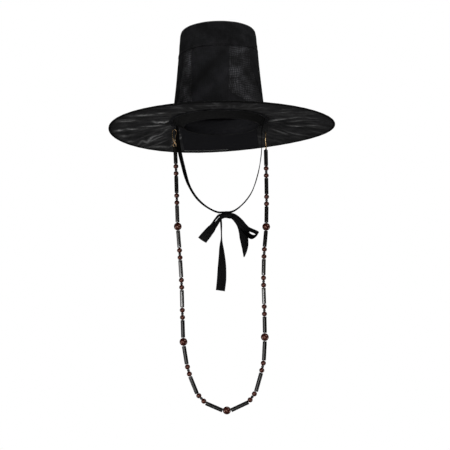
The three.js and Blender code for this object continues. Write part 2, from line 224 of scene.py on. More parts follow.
def woven_material(name, light, dark, pitch, roughness, gloss=0.25):
    """Close plain weave with slubs."""
    n = new_nodes(name)
    u, v = n.uv()
    place = n.flat(u, v)
    checks = n.add("TexChecker", place, (0, 0, 0, 1), (1, 1, 1, 1), 1 / pitch).outputs[1]
    threads = n.span(checks, 0, 1, n.ridges(u, pitch), n.ridges(v, pitch))
    slubs = n.noise(n.stretched(place, (1, 6, 1)), 900, 2.0)
    # The mesh's painted light attribute lays painted light and painted shade on the cloth.
    shade = n.with_painted_light(n.times(threads, n.span(slubs, 0.3, 0.7, 0.6, 1.15)))
    n.set(
        Base_Color=n.mix(shade, dark, light),
        Roughness=n.span(shade, 0, 1, roughness + 0.15, roughness),
        Specular_IOR_Level=gloss,
        Normal=n.bump(threads, 0.1 * MM, 0.6),
    )
    return n.owner


def ribbon_material():
    """Black satin ribbon: fine ribs across it, and soft streaks along it."""
    n = new_nodes("ribbon_satin")
    u, v = n.uv()
    weave = n.math("ADD", n.ridges(v, 0.55 * MM), n.times(n.ridges(u, 0.35 * MM), 0.35))
    streaks = n.noise(n.stretched(n.flat(u, v), (9, 1, 1)), 60, 3.0)
    shade = n.times(weave, n.span(streaks, 0.3, 0.7, 0.6, 1.1))
    n.set(
        Base_Color=n.mix(shade, grey(0.003), grey(0.012, -0.05)),
        Roughness=n.span(streaks, 0.3, 0.7, 0.4, 0.55),
        Specular_IOR_Level=0.06,
        Normal=n.bump(weave, 0.06 * MM, 0.6),
    )
    return n.owner


def brass_material():
    """Bright brass with darker, tarnished patches and fine scratches."""
    n = new_nodes("hook_brass")
    tarnish = n.span(n.noise(n.here(), 420, 4.0), 0.4, 0.6, 0, 1)
    scratches = n.noise(n.stretched(n.here(), (1, 1, 9)), 900, 2.0)
    n.set(
        Base_Color=n.mix(tarnish, (0.97, 0.72, 0.38, 1), (0.62, 0.4, 0.24, 1)),
        Metallic=1.0,
        Roughness=n.span(scratches, 0.3, 0.7, 0.15, 0.3),
        Normal=n.bump(scratches, 0.02 * MM, 0.4),
    )
    return n.owner


def bead_material(name, dark, light, grain_scale, roughness, ior, coat=0.0, tint=(1, 1, 1, 1)):
    """Turned and lacquered: fine grain along the bead, in slow clouds."""
    n = new_nodes(name)
    u, v = n.uv()
    grain = n.noise(n.flat(u, n.times(v, 0.05)), grain_scale, 2.0, 0.5)
    clouds = n.noise(n.here(), 60, 1.0)
    shade = n.times(n.span(grain, 0.3, 0.7, 0.2, 1), n.span(clouds, 0.3, 0.7, 0.7, 1))
    n.set(
        Base_Color=n.mix(shade, dark, light),
        Roughness=n.span(grain, 0.3, 0.7, roughness, roughness + 0.05),
        IOR=ior,
        Specular_Tint=tint,
        Coat_Weight=coat,
        Coat_Roughness=0.05,
        Normal=n.bump(grain, 0.003 * MM, 0.05),
    )
    return n.owner


def brim_material():
    """The same mesh, with a painted highlight where a fold stands out, broken into patches."""
    n = gauze_nodes("brim_gauze", grey(0.056, -0.06), grey(0.01), 0.5, 0.16, pitch=1.05 * MM)
    cloth = n.shader.inputs["Base Color"].links[0].from_socket
    highlight_patches = n.span(n.noise(n.here(), 160, 4.0, 0.7), 0.38, 0.62, 0.45, 1.15)
    # grey(0.68) is the painted highlight's colour, laid on where the fold highlight attribute is high.
    n.set(Base_Color=n.mix(n.times(n.attribute("fold_highlight"), highlight_patches), cloth, grey(0.68)))
    return n.owner


# The wall's gauze has paler threads than the laps' doubled gauze: partly its own tone, partly a painted
# highlight where the wall shows between the laps.
crown_gauze = gauze_nodes("crown_gauze", grey(0.138, -0.1), grey(0.006), 0.45, 0.2, 0.75, 0.85).owner
lap_gauze = gauze_nodes("lap_gauze", grey(0.033, -0.14), grey(0.007), 0.6, 0.12, 0.4).owner
cap_gauze = gauze_nodes("cap_gauze", grey(0.033, -0.12), grey(0.005), 0.6, 0.12, 0.5).owner
inner_gauze = gauze_nodes("inner_gauze", grey(0.06, -0.12), grey(0.02), 0.8, 0.02, 0.1).owner
# Painted shade: the darker, duller gauze of the sheet under the back of the brim.
shade_lining_gauze = gauze_nodes("shade_lining_gauze", grey(0.028, -0.14), grey(0.006), 0.8, 0.02, 0.1).owner
brim_gauze = brim_material()
binding_cloth = woven_material("binding_cloth", grey(0.006), grey(0.0015), 0.6 * MM, 0.6, 0.1)
band_cloth = woven_material("band_cloth", grey(0.02), grey(0.006), 0.8 * MM, 0.8, 0.05)
sweat_cloth = woven_material("sweat_cloth", grey(0.05, -0.12), grey(0.014, -0.12), 0.8 * MM, 0.9, 0.02)
# Painted highlight: the welt's pale cloth.
welt_highlight_cloth = woven_material("welt_highlight_cloth", grey(0.22), grey(0.1), 0.5 * MM, 0.7, 0.1)
cord_cloth = woven_material("cord_cloth", grey(0.018), grey(0.003), 0.4 * MM, 0.6)
stitch_thread = woven_material("stitch_thread", grey(0.02), grey(0.004), 0.2 * MM, 0.5)
ribbon_satin = ribbon_material()
hook_brass = brass_material()
# Copies of one tube lacquer for three heights on the strand: the paler, glossier middle copy is a painted
# reflection of the light the tubes catch there.
tube_lacquer = bead_material("tube_lacquer", grey(0.003, 0.1), grey(0.01, 0.2), 260, 0.12, 1.65)
tube_painted_sheen = bead_material("tube_painted_sheen", grey(0.006, 0.1), (0.05, 0.044, 0.037, 1), 330, 0.12, 2.7)
tube_low_copy = bead_material("tube_low_copy", grey(0.003, 0.1), (0.014, 0.0125, 0.011, 1), 330, 0.1, 1.5)
LACQUER_DARK, LACQUER_RED = (0.026, 0.0045, 0.003, 1), (0.085, 0.015, 0.009, 1)
LACQUER_TINT = (1, 0.54, 0.42, 1)
red_lacquer = bead_material("red_lacquer", LACQUER_DARK, LACQUER_RED, 160, 0.08, 1.85, 0.2, LACQUER_TINT)
seed_lacquer = bead_material("seed_lacquer", grey(0.004), grey(0.012, -0.1), 400, 0.2, 1.6)


# Directions, lengths and places round an axis.
def unit(vectors):
    return vectors / np.maximum(np.linalg.norm(vectors, axis=-1, keepdims=True), 1e-9)


def lengths_along(path):
    return np.concatenate([[0], np.cumsum(np.linalg.norm(np.diff(path, axis=0), axis=1))])


def tangents_of(path):
    return unit(np.gradient(path, axis=0))


def circle(count):
    return np.arange(count) * 2 * np.pi / count


def girth(radius, count):
    """How far round a circle each of its columns is, and how far it is all the way round."""
    return np.linspace(0, 2 * np.pi * radius, count + 1)


def around(angles, side, front):
    """Steps out from an axis at each angle, from two ways across it."""
    return np.cos(angles)[:, None] * side + np.sin(angles)[:, None] * front


def round_points(x, angles, radius, height):
    """Points round an upright axis at x."""
    return np.stack(np.broadcast_arrays(x + radius * np.cos(angles), radius * np.sin(angles), height), -1)


def frames_of(tangents, start):
    """Two ways across a path at each of its points, carried along it without a twist."""
    side = np.cross(tangents[0], start)
    frames = []
    for tangent in tangents:
        side = unit(side - tangent * (side @ tangent))
        frames.append((side, np.cross(tangent, side)))
    return frames


def smooth_curve(points, steps):
    """Points along a centripetal spline, steps for each stretch between two given points."""
    p = np.asarray(points, dtype=float)
    p = np.vstack([2 * p[0] - p[1], p, 2 * p[-1] - p[-2]])
    gaps = np.maximum(np.linalg.norm(np.diff(p, axis=0), axis=1) ** 0.5, 1e-6)[:, None]
    slopes = np.diff(p, axis=0) / gaps
    slopes = slopes[:-1] - (p[2:] - p[:-2]) / (gaps[:-1] + gaps[1:]) + slopes[1:]
    chord, leave, reach = p[2:-1] - p[1:-2], slopes[:-1] * gaps[1:-1], slopes[1:] * gaps[1:-1]
    square, cube = 3 * chord - 2 * leave - reach, leave + reach - 2 * chord
    t = np.arange(steps)[:, None] / steps
    made = p[1:-2, None] + leave[:, None] * t + square[:, None] * t**2 + cube[:, None] * t**3
    return np.vstack([made.reshape(-1, p.shape[1]), p[-2]])


# Meshes. A grid is an array of points in millimetres, row by row; columns may close on themselves.
def add_piece(name, points, faces, uvs, materials, slots=None):
    """A piece of the hat from points, faces and one U, V for each corner, all in millimetres."""
    mesh = bpy.data.meshes.new(name)
    mesh.from_pydata((np.asarray(points, dtype=float) * MM).tolist(), [], faces)
    layer = mesh.uv_layers.new(name="cloth")
    layer.data.foreach_set("uv", (np.asarray(uvs, dtype=float) * MM).astype(np.float32).ravel())
    for material in materials:
        mesh.materials.append(material)
    if slots is not None:
        mesh.polygons.foreach_set("material_index", np.asarray(slots, dtype=np.int32))
    mesh.shade_smooth()
    mesh.update()
    piece = bpy.data.objects.new(name, mesh)
    bpy.context.collection.objects.link(piece)
    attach(piece, "root")
    return piece


def finish_as(piece, node=None):
    """Hides the node that a piece stands for, where one is given; the piece itself is not used."""
    if node:
        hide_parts(node)


def paint(piece, name, values):
    """Values at the points of a shell's grid, on both its sides, for its material."""
    layer = piece.data.attributes.new(name, "FLOAT", "POINT")
    layer.data.foreach_set("value", np.tile(values.ravel(), 2).astype(np.float32))


def normals_of(grid, closed):
    """Unit normals of a grid: the way its columns run, crossed with the way its rows run."""
    across = np.roll(grid, -1, axis=1) - np.roll(grid, 1, axis=1) if closed else np.gradient(grid, axis=1)
    return unit(np.cross(across, np.gradient(grid, axis=0)))


def quads(rows, columns, closed, flip=False):
    """Corner places (row, column) of each quad; a column may be one past the last where they close."""
    r, c = np.meshgrid(np.arange(rows - 1), np.arange(columns if closed else columns - 1), indexing="ij")
    steps = [(0, 0), (0, 1), (1, 1), (1, 0)]
    places = np.stack([np.stack([r + dr, c + dc], -1) for dr, dc in steps], 2).reshape(-1, 4, 2)
    return places[:, ::-1] if flip else places


def add_shell(name, grid, thickness, material, u, v, closed=False, inner=None):
    """Cloth of an even thickness on both sides of a grid, closed at its edges. u and v are in millimetres,
    for each column and row or for each point; u has one more column where the grid closes. The side away
    from the normals can have an inner material of its own."""
    rows, columns = grid.shape[:2]
    if np.ndim(u) == 1:
        v, u = np.meshgrid(v, u, indexing="ij")
    offset = normals_of(grid, closed) * thickness / 2
    points = np.concatenate([(grid + offset).reshape(-1, 3), (grid - offset).reshape(-1, 3)])

    def index(places, side):
        return (side * rows + places[..., 0]) * columns + places[..., 1] % columns

    def uv(places):
        return np.stack([u[places[..., 0], places[..., 1]], v[places[..., 0], places[..., 1]]], -1)

    front, back = quads(rows, columns, closed), quads(rows, columns, closed, flip=True)
    faces, uvs = [index(front, 0), index(back, 1)], [uv(front), uv(back)]
    table = front.reshape(rows - 1, -1, 4, 2)
    rims = [(table[0], 0), (table[-1], 2)]
    if not closed:
        rims += [(table[:, 0], 3), (table[:, -1], 1)]
    for strip, corner in rims:
        first, second = strip[:, corner], strip[:, (corner + 1) % 4]
        faces.append(np.stack([index(second, 0), index(first, 0), index(first, 1), index(second, 1)], -1))
        uvs.append(np.stack([uv(second), uv(first), uv(first), uv(second)], 1))
    materials, slots = [material], None
    if inner:
        materials.append(inner)
        slots = np.repeat([0, 1, 0], [len(front), len(back), sum(map(len, faces[2:]))])
    corners = np.concatenate(uvs).reshape(-1, 2)
    return add_piece(name, points, np.concatenate(faces).tolist(), corners, materials, slots)


def ring_faces(rows, sides, closed, u, v, flip=False):
    """Faces and U, V between rings of points; closed, the last ring also joins the first."""
    places = quads(rows + (1 if closed else 0), sides, True, flip)
    faces = (places[..., 0] % rows) * sides + places[..., 1] % sides
    uvs = np.stack([u[places[..., 1]], v[places[..., 0]]], -1)
    return faces.tolist(), uvs.reshape(-1, 2).tolist()


ROUNDING = [(0.9, 0.35), (0.6, 0.78)]  # rings of a rod's rounded end, in radii: how far out, how wide


def tube_parts(path, radius, sides=10, closed=False):
    """Points, faces and U, V of a round rod along a path, with its ends rounded off."""
    path = np.asarray(path, dtype=float)
    sizes = [1] * len(path)
    if closed:
        tangents = unit(np.roll(path, -1, axis=0) - np.roll(path, 1, axis=0))
    else:
        tangents = tangents_of(path)
        head = [path[0] - tangents[0] * radius * reach for reach, _ in ROUNDING]
        tail = [path[-1] + tangents[-1] * radius * reach for reach, _ in ROUNDING[::-1]]
        path = np.vstack([head, path, tail])
        tangents = np.pad(tangents, ((len(head), len(tail)), (0, 0)), "edge")
        sizes = [size for _, size in ROUNDING] + sizes + [size for _, size in ROUNDING[::-1]]
    frames = frames_of(tangents, (0, 0, 1) if abs(tangents[0][2]) < 0.9 else (0, 1, 0))
    twist = 0
    if closed:  # what is left over where the path closes is shared out
        (side, front), (last, _) = frames[0], frames[-1]
        twist = math.atan2(front @ last, side @ last) / len(frames)
    rings = [
        middle + size * radius * around(circle(sides) - twist * k, *frame)
        for k, (middle, size, frame) in enumerate(zip(path, sizes, frames))
    ]
    rows = len(path)
    u = girth(radius, sides)
    v = lengths_along(path)
    v = np.append(v, v[-1] * (1 + 1 / rows))
    faces, uvs = ring_faces(rows, sides, closed, u, v)
    if not closed:
        faces += [list(range(sides))[::-1], [(rows - 1) * sides + s for s in range(sides)]]
        uvs += [[u[s], v[0]] for s in range(sides)] * 2
    return np.concatenate(rings), faces, uvs


def join_parts(parts):
    """Several (points, faces, uvs) as one."""
    points, faces, uvs, count = [], [], [], 0
    for part_points, part_faces, part_uvs in parts:
        faces += [[c + count for c in face] for face in part_faces]
        points.append(part_points)
        uvs += part_uvs
        count += len(part_points)
    return np.vstack(points), faces, uvs


def add_joined(name, parts, material):
    return add_piece(name, *join_parts(parts), [material])


# The hat's own shape, with the numbers of the part's source.
CROWN_FOOT_X, CROWN_LEAN = -4.6, 0.012
CROWN_FOOT, CROWN_SEAM = 11.0, 116.0
CROWN_ROWS = [(11, 74.3), (43, 70.7), (90, 66.0), (116, 63.7)]  # height, outer radius
SEAM_TILT, SEAM_WAVE = 2.4, 1.2
CAP_ROWS = [(116, 63.7), (149, 60.7), (154.6, 59.0), (158.0, 53.4), (158.8, 43), (159.2, 0)]
BRIM_RADIUS, RIM_HEIGHT, BRIM_FOOT = 179.6, -2.4, 11.4
RIM_TILT, RIM_TWIST, RIM_CURL = 0.9, 2.5, -0.7
BINDING_WIDTH, BINDING_HEIGHT = 2.6, 2.8
BAND_FOOT_RADIUS, BAND_TOP = 61.0, 17.0
CLOTH = 0.5  # thickness of the gauze as it is dressed
SKIN = 0.35  # how far the gauze's middle lies inside the solid's outer face
FRONT = -math.pi / 2  # the angle that faces the front


def crown_x(height):
    return CROWN_FOOT_X + CROWN_LEAN * (height - CROWN_FOOT)


def seam_offset(angle):
    return SEAM_TILT * np.cos(angle) + SEAM_WAVE * np.cos(3 * angle)


crown_curve = np.polyfit([h for h, _ in CROWN_ROWS], [r for _, r in CROWN_ROWS], 3)


def crown_dents(angle, share):
    """Slow dents that a stiffened tube keeps from being handled."""
    slow = 0.22 * np.cos(3 * angle + 2.2 * share + 0.4) + 0.16 * np.cos(5 * angle - 3.1 * share + 1.7)
    fast = 0.1 * np.cos(9 * angle + 5 * share) + 0.06 * np.cos(14 * angle - 9 * share + 0.8)
    return np.sin(np.pi * share) * (slow + fast - 0.25)


def crown_points(heights, angles, out=0.0):
    """Points on the crown's wall; heights are stretched so that the top one follows the seam."""
    share = np.clip((heights - CROWN_FOOT) / (CROWN_SEAM - CROWN_FOOT), 0, 1)
    radius = np.polyval(crown_curve, heights) - SKIN + crown_dents(angles, share) + out
    return round_points(crown_x(heights), angles, radius, heights + share * seam_offset(angles))


CROWN_COLUMNS, WALL_RADIUS = 240, 68
wall_heights = np.linspace(CROWN_FOOT - 1.2, CROWN_SEAM, 60)
wall_angles = circle(CROWN_COLUMNS)
wall_u = girth(WALL_RADIUS, CROWN_COLUMNS)
wall_points = crown_points(*np.meshgrid(wall_heights, wall_angles, indexing="ij"))
crown_wall = add_shell("gauze_wall", wall_points, CLOTH, crown_gauze, wall_u, wall_heights, True, inner_gauze)
finish_as(crown_wall, "crown_wall")

# Painted highlights and painted shade: strokes where the crown's gauze is painted lighter or darker.
STROKES = [  # from: degrees round from the front, height; to: the same; half width, how much lighter
    (-33, 52, 6, 104, 8, -0.65),
    (-30, 33, 4, 62, 7, 0.8),
    (4, 62, 15, 78, 3.5, 0.8),
    (-36, 96, 14, 99, 5, 0.18),
    (-43, 70, -43, 112, 1.4, 0.9),
    (-48, 68, -47, 90, 3.2, 0.4),
    (-56, 42, -50, 54, 4, 0.4),
    (-70, 30, -60, 100, 6, -0.4),
    (20, 76, 30, 78, 5, 0.9),
    (28, 62, 44, 30, 9, 0.35),
    (17, 104, 33, 106, 6, 0.25),
    (46, 60, 46, 112, 6, -0.3),
    (-32, 133, -18, 131, 2.5, 0.5),
    (-10, 120, 12, 122, 2, 0.6),
    (20, 128, 40, 124, 3, -0.3),
]


def crown_painted_light(angles, heights):
    """How much lighter the gauze is painted at places on the crown: painted highlights and painted shade."""
    across = ((angles - FRONT + np.pi) % (2 * np.pi) - np.pi) * WALL_RADIUS
    total = np.zeros(np.broadcast(across, heights).shape)
    for first, bottom, last, top, half, amount in STROKES:
        left, right = np.radians((first, last)) * WALL_RADIUS
        run, rise = right - left, top - bottom
        share = np.clip(((across - left) * run + (heights - bottom) * rise) / (run**2 + rise**2), 0, 1)
        distance = np.hypot(across - left - share * run, heights - bottom - share * rise)
        total += amount * np.exp(-((distance / half) ** 2))
    return np.clip(total, -0.7, 1.5)


# The wall carries the strokes' painted highlights and painted shade.
paint(crown_wall, "painted_light", crown_painted_light(wall_angles, wall_heights[:, None]))

# Inside, the wall's gauze is doubled here and there: seen from outside, darker panels with sharp edges.
# Between them the single wall's paler threads are partly a painted highlight.
LAPS = {  # height, from and to in degrees round from the front
    "gauze_lap_front": [
        (11.5, -33.7, 62),
        (28.7, -34.8, 36.3),
        (38, -35.3, 18),
        (45.8, -35.8, 13),
        (67, -37.2, 14.2),
        (92, -38.8, 15),
        (115.5, -40.2, 15.7),
    ],
    "gauze_lap_right": [
        (11.5, 86, 112),
        (37.2, 74.3, 112),
        (65.7, 60, 112),
        (80, 53, 112),
        (92.7, 49.8, 112),
        (115.5, 50.8, 112),
    ],
    "gauze_lap_left": [
        (11.5, -112, -64),
        (60, -112, -61),
        (90, -112, -57),
        (115.5, -112, -59),
    ],
}
LAP_ROWS, LAP_OUT, LAP_CLOTH = 56, 0.42, 0.3
lap_heights = np.linspace(CROWN_FOOT + 0.5, CROWN_SEAM - 0.5, LAP_ROWS)
for name, edges in LAPS.items():
    at, *sides = np.array(edges).T
    lap_angles = np.linspace(*[np.interp(lap_heights, at, side) for side in sides], LAP_ROWS, axis=1)
    lap_angles = FRONT + np.radians(lap_angles)
    lap_v = np.broadcast_to(lap_heights[:, None], lap_angles.shape)
    lap_points = crown_points(lap_v, lap_angles, LAP_OUT)
    lap = add_shell(name, lap_points, LAP_CLOTH, lap_gauze, lap_angles * WALL_RADIUS, lap_v)
    # Each lap carries the strokes' painted highlights and painted shade too.
    paint(lap, "painted_light", crown_painted_light(lap_angles, lap_v))
    finish_as(lap)

# The cap flares a little where it meets the wall at the seam.
CAP_EDGE, CAP_TIP = 149, 0.3  # where its side turns in to its top, and the radius at its middle
cap_profile = smooth_curve([(r, h) for h, r in CAP_ROWS], 10)
cap_profile[-1, 0] = CAP_TIP
radius, height = cap_profile.T[..., None]
lift = np.clip((CAP_EDGE - height) / (CAP_EDGE - CROWN_SEAM), 0, 1) * (seam_offset(wall_angles) + 0.4)
wrinkle = 0.12 * np.cos(7 * wall_angles + height * 0.4) + 0.08 * np.cos(13 * wall_angles - height * 0.2)
flare = 0.5 * np.exp(-((height - CROWN_SEAM) / 3) ** 2)
radius = np.maximum(radius - SKIN, CAP_TIP) + flare + wrinkle * np.minimum(1, radius / 20)
cap_points = round_points(crown_x(height), wall_angles, radius, height + lift)
cap_v = lengths_along(cap_profile)
crown_cap = add_shell("gauze_cap", cap_points, CLOTH, cap_gauze, wall_u, cap_v, closed=True)
# The cap carries the strokes' painted highlights and painted shade too.
paint(crown_cap, "painted_light", crown_painted_light(wall_angles, height))
finish_as(crown_cap, "crown_cap")


# Sewing.
def add_stitches(name, centres, out, length, radius, lift):
    """Short threads in a row round the hat, each arched over its centre and dipping in at both ends."""
    shares = np.array([-0.5, -0.3, 0, 0.3, 0.5])[:, None]
    rise = np.array([-0.5, 0.7, 1.0, 0.7, -0.5])[:, None]
    along = round_points(0, circle(len(centres)) + np.pi / 2, 1, 0)
    paths = [c + shares * length * a + rise * lift * o for c, a, o in zip(centres, along, out)]
    finish_as(add_joined(name, [tube_parts(path, radius, 6) for path in paths], stitch_thread))


seam_angles = circle(116)  # one stitch at each
seam_height, seam_radius = CROWN_SEAM + 2.6, 63.83 + CLOTH / 2 - SKIN
seam_rise = seam_offset(seam_angles) * 0.8 + 0.3
seam_places = round_points(crown_x(seam_height), seam_angles, seam_radius, seam_height + seam_rise)
add_stitches("seam_stitches", seam_places, round_points(0, seam_angles, 1, 0), 2.4, 0.17, 0.14)


# The brim: gauze with creases that start at the crown's foot and fan out to the rim.
def rim_wave(angle):
    return RIM_TILT * np.cos(angle) + RIM_TWIST * np.sin(2 * angle) + RIM_CURL * np.cos(3 * angle)


BRIM_HOLE = 74.6
BRIM_EDGE = BRIM_RADIUS - 0.9
# Folds that stand out on the underside: how far they hang, half their width, and the line they follow.
FOLDS = [  # left side
    (1.7, 4.5, [(-168, 2), (-157, 5)]),
    (1.1, 4.0, [(-160, -54), (-146, -50), (-133, -45)]),
    (0.9, 6.5, [(-131, -88), (-117, -80), (-103, -75)]),
    (0.9, 5.0, [(-98, -81), (-85, -80)]),
    (1.6, 3.2, [(-108, -22), (-102, -7), (-96, -11), (-91, 0), (-86, -8), (-79, 6)]),
    (1.0, 3.6, [(-130, 4), (-115, 8), (-104, 11), (-94, 17)]),
    (1.1, 3.8, [(-152, 0), (-144, 9), (-136, 13)]),
    (0.8, 2.6, [(-140, 100), (-131, 81), (-125, 93), (-114, 69), (-102, 64), (-91, 48)]),
    (0.7, 2.4, [(-126, 100), (-113, 84), (-98, 72)]),
    (0.6, 3.4, [(-157, 73), (-146, 81)]),
    (0.5, 4.5, [(-125, 119), (-106, 124), (-89, 133)]),
    (0.5, 4.5, [(-165, 33), (-153, 49)]),
    (0.6, 3.2, [(-40, -136), (-26, -129), (-13, -131), (4, -131)]),
] + [  # right side
    (1.1, 3.4, [(76, 12), (89, -7), (103, -22)]),
    (0.5, 3.0, [(103, -22), (114, -36), (124, -46)]),
    (1.0, 3.6, [(108, 29), (118, 27), (130, 25)]),
    (0.5, 3.8, [(131, 16), (144, 10), (156, 4)]),
    (0.5, 2.8, [(81, 57), (93, 69), (109, 85)]),
    (0.4, 2.8, [(103, 64), (121, 80), (137, 86)]),
    (0.4, 4.0, [(80, -54), (94, -74), (107, -92)]),
    (0.4, 3.4, [(106, 3), (119, -12), (132, -27)]),
    (0.4, 3.6, [(131, -44), (149, -50)]),
]


def brim_radius(share):
    """Shares of the brim run from 0 at its hole to 1 at its edge."""
    return BRIM_HOLE + (BRIM_EDGE - BRIM_HOLE) * share


def fold_shape(x, y, half_width, line):
    """1 along the fold's line, falling off to its sides and ends."""
    points = smooth_curve([(px, py, 0) for px, py in line], 4)[:, :2]
    best, share = np.full(x.shape, np.inf), np.zeros(x.shape)
    for i, (a, b) in enumerate(zip(points[:-1], points[1:])):
        step = b - a
        t = np.clip(((x - a[0]) * step[0] + (y - a[1]) * step[1]) / (step @ step), 0, 1)
        away = np.hypot(x - a[0] - t * step[0], y - a[1] - t * step[1])
        share = np.where(away < best, (i + t) / (len(points) - 1), share)
        best = np.minimum(best, away)
    ends = 0.35 + 0.65 * np.sin(np.pi * share)
    return ends * np.exp(-((best / half_width) ** 1.7))


def random_fold(random, finest, widest):
    """Half the width of a slightly bent line that fans out from the crown, and the line."""
    angle, slant = random.uniform(0, 2 * np.pi), random.normal(0, 0.1)
    start = random.uniform(0, 0.7)
    end = min(start + random.uniform(0.15, 0.5), 1)
    line = []
    for share in np.linspace(start, end, 4):
        a = angle + slant * share + random.normal(0, 0.012)
        line.append((brim_radius(share) * math.cos(a), brim_radius(share) * math.sin(a)))
    return random.uniform(finest, widest), line


FINE_FOLDS = [  # how many, the least and most half width, the most they hang, the most painted highlight they get
    (60, 3.0, 6.0, 0.55, 0.16),
    (150, 1.4, 2.6, 0.26, 0.3),
]
LIT_SIDE, SHADED = -50, 0.5  # fine folds that start to the right of this get half as much painted highlight, as painted shade


def brim_folds(x, y, share):
    """How far the folds hang down at each point, and how much painted highlight their threads get."""
    random = np.random.default_rng(11)
    hang, fold_highlight = np.zeros_like(x), np.zeros_like(x)
    for height, half_width, line in FOLDS:
        shape = fold_shape(x, y, half_width, line)
        hang += height * shape
        fold_highlight = np.maximum(fold_highlight, height / 1.7 * shape**1.3)
    for count, finest, widest, tallest, brightest in FINE_FOLDS:
        for _ in range(count):
            half_width, line = random_fold(random, finest, widest)
            shape = fold_shape(x, y, half_width, line)
            hang += random.uniform(-1, 1) * tallest * shape
            shine = 1 if line[0][0] < LIT_SIDE else SHADED
            fold_highlight = np.maximum(fold_highlight, random.uniform(0, brightest) * shine * shape)
    still = np.clip((1 - share) / 0.06, 0, 1) * np.clip(share / 0.05, 0.15, 1)
    return hang * still, fold_highlight * still


def brim_surface(angle, share):
    """Points on the brim without its folds."""
    height = BRIM_FOOT + (RIM_HEIGHT - BRIM_FOOT) * share + rim_wave(angle) * share
    return round_points(CROWN_FOOT_X * (1 - share), angle, brim_radius(share), height)


BRIM_COLUMNS, BRIM_ROWS = 720, 62
brim_angle, brim_share = np.meshgrid(circle(BRIM_COLUMNS), np.linspace(0, 1, BRIM_ROWS))
brim_points = brim_surface(brim_angle, brim_share)
hang, fold_highlight = brim_folds(brim_points[..., 0], brim_points[..., 1], brim_share)
brim_points[..., 2] -= hang
plan = np.concatenate([brim_points, brim_points[:, :1]], 1)
brim = add_shell("gauze_brim", brim_points, CLOTH, brim_gauze, plan[..., 0], plan[..., 1], closed=True)
# The folds' painted highlight goes onto the brim's gauze.
paint(brim, "fold_highlight", fold_highlight)
finish_as(brim, "brim")

# Painted shade: at the back a darker, duller sheet of gauze lines the underside, as wide as the headband, and
# stands in for the shade there.
SHADE_LINING_SIDES = (61.5, -64.0)
SHADE_LINING_ROWS, SHADE_LINING_COLUMNS = 40, 90
SHADE_LINING_CLOTH, SHADE_LINING_DROP = 0.3, 0.55
shade_lining_share = np.linspace(0.03, 0.985, SHADE_LINING_ROWS)
shade_lining_ends = [np.arccos(side / brim_radius(shade_lining_share)) for side in SHADE_LINING_SIDES]
shade_lining_share = shade_lining_share[:, None]
shade_lining_points = brim_surface(np.linspace(*shade_lining_ends, SHADE_LINING_COLUMNS, axis=1), shade_lining_share)
shade_lining_x, shade_lining_y = shade_lining_points[..., 0], shade_lining_points[..., 1]
shade_lining_points[..., 2] -= brim_folds(shade_lining_x, shade_lining_y, shade_lining_share)[0] + SHADE_LINING_DROP
shade_lining = add_shell("brim_shade_lining", shade_lining_points, SHADE_LINING_CLOTH, shade_lining_gauze, shade_lining_x, shade_lining_y)
finish_as(shade_lining)
shade_lining_size = tuple((np.ptp(side) * MM).item() for side in (shade_lining_x, shade_lining_y))

# A pale welt runs along the shade lining's outer edge, from its left end to the middle: its pale cloth is a
# painted highlight, a lit strip by the far rim.
WELT_IN, WELT_SIDES, WELT_DROP, WELT_RADIUS = 8, (10, -64.0), 1.4, 0.7
welt_radius = BRIM_EDGE - BINDING_WIDTH - WELT_IN
welt_angles = np.linspace(*np.arccos(np.array(WELT_SIDES) / welt_radius), 60)
welt_path = brim_surface(welt_angles, (welt_radius - BRIM_HOLE) / (BRIM_EDGE - BRIM_HOLE)) - (0, 0, WELT_DROP)
finish_as(add_joined("shade_lining_welt", [tube_parts(welt_path, WELT_RADIUS)], welt_highlight_cloth))

# The binding is a strip folded over the brim's edge and sewn through.
BINDING_COLUMNS, BINDING_CLOTH, BINDING_STITCHES = 540, 0.45, 270
binding_angles = circle(BINDING_COLUMNS)
half_height = BINDING_HEIGHT / 2 - 0.25
fold = [  # in from the rim, height
    (BINDING_WIDTH, half_height - 0.25),
    (1.7, half_height),
    (0.9, half_height - 0.15),
    (0.4, half_height * 0.6),
    (0.25, 0.0),
]
fold += [(inwards, -height) for inwards, height in fold[-2::-1]]
fold = smooth_curve([(BRIM_RADIUS - inwards, height) for inwards, height in fold], 3)
binding_rim = RIM_HEIGHT + rim_wave(binding_angles)
binding_wave = 0.08 * np.cos(47 * binding_angles)
radius, height = fold[::-1].T[..., None]
height = binding_rim + height + binding_wave * (BRIM_RADIUS - radius)
binding_points = round_points(0, binding_angles, radius, height)
binding_u, binding_v = girth(BRIM_RADIUS, BINDING_COLUMNS), lengths_along(fold)
binding = add_shell("edge_binding", binding_points, BINDING_CLOTH, binding_cloth, binding_u, binding_v, True)
finish_as(binding, "brim_binding")

stitch_angles, stitch_radius = circle(BINDING_STITCHES), BRIM_RADIUS - BINDING_WIDTH + 0.75
for side, name in ((1, "binding_stitches_top"), (-1, "binding_stitches_under")):
    height = RIM_HEIGHT + rim_wave(stitch_angles) + side * (half_height + 0.22)
    places = round_points(0, stitch_angles, stitch_radius, height)
    add_stitches(name, places, [np.array([0, 0, side])] * BINDING_STITCHES, 2.6, 0.12, 0.06)


# The headband: a slanted band inside the crown's foot, with a corded lower edge.
BAND_COLUMNS, BAND_CLOTH, BAND_GIRTH_RADIUS = 240, 0.8, 66
band_angles = circle(BAND_COLUMNS)


def band_rings(height, radius):
    return round_points(CROWN_FOOT_X * np.minimum(1, height / CROWN_FOOT), band_angles, radius, height)


